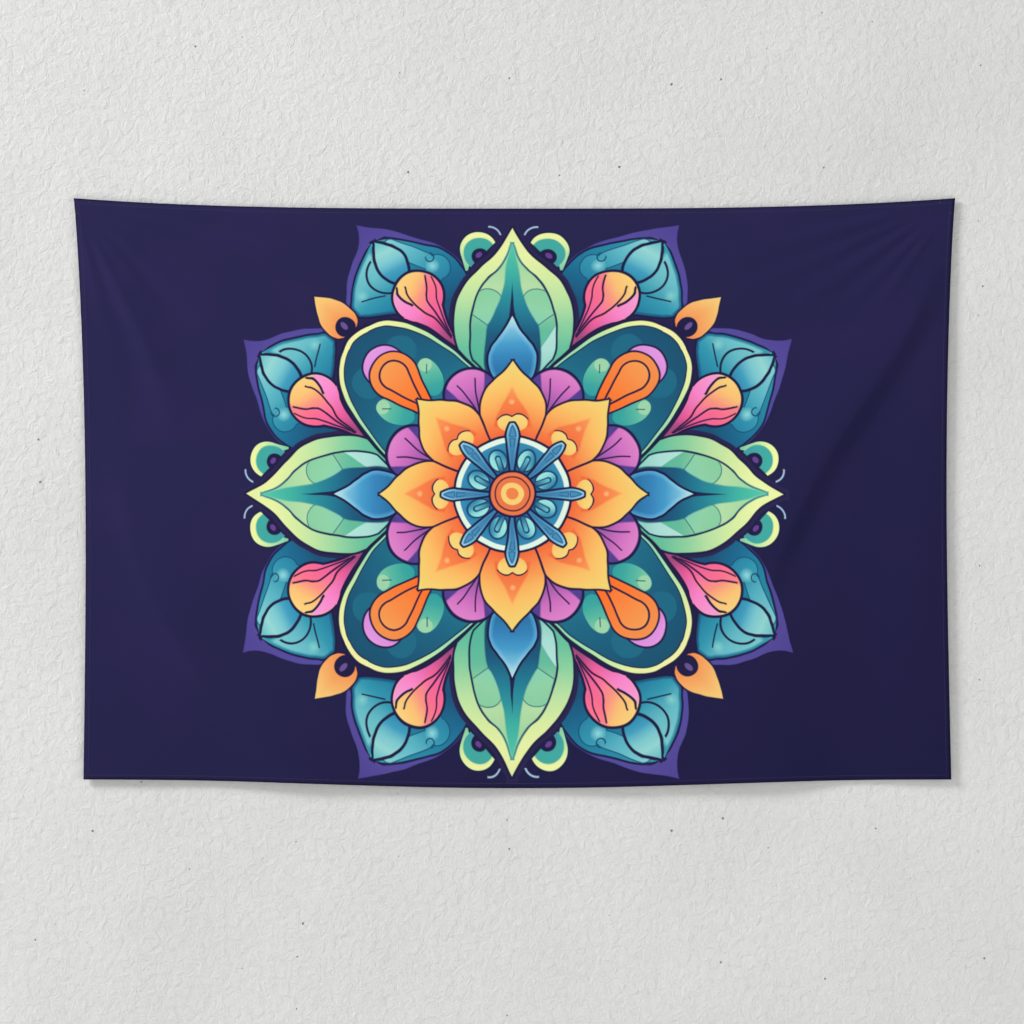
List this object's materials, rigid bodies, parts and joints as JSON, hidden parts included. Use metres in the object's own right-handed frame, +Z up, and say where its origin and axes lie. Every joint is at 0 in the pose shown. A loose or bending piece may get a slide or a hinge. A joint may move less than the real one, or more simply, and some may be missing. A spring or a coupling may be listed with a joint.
{
  "type": "tapestry wall hanging",
  "caption": "Rectangular printed cloth wall hanging with hemmed edges and hidden corner loops, hung by its top corners and showing a round flower medallion on navy.",
  "frame": {"origin": "midway between the two wall pins, on the wall's face", "axes": "+X along the width to the right as seen from the front, +Y into the wall, +Z up; the printed side faces -Y"},
  "size_m": [1.524, 0.0315, 1.02],
  "materials": {
    "printed_cloth": "soft matte woven polyester, printed on the front, white on the back",
    "hem_cloth": "printed side of the same cloth, turned to the back",
    "thread": "spun polyester thread",
    "loop_tape": "cotton twill tape",
    "pin_steel": "bright drawn steel"
  },
  "bodies": {
    "wall_pins": {"wall_pin_left": "pin_steel", "wall_pin_right": "pin_steel"},
    "cloth": {"printed_panel": "printed_cloth", "hem_top": "hem_cloth", "hem_bottom": "hem_cloth", "hem_left": "hem_cloth", "hem_right": "hem_cloth", "hem_stitching_top": "thread", "hem_stitching_bottom": "thread", "hem_stitching_left": "thread", "hem_stitching_right": "thread", "corner_loop_left": "loop_tape", "corner_loop_right": "loop_tape", "loop_tacks_left": "thread", "loop_tacks_right": "thread"}
  },
  "joints": [
    {"name": "cloth_swing", "type": "hinge", "parent": "wall_pins", "child": "cloth", "pos_m": [0, -0.0034, 0.017], "axis": [-1, 0, 0], "range_deg": [0, 45]}
  ]
}
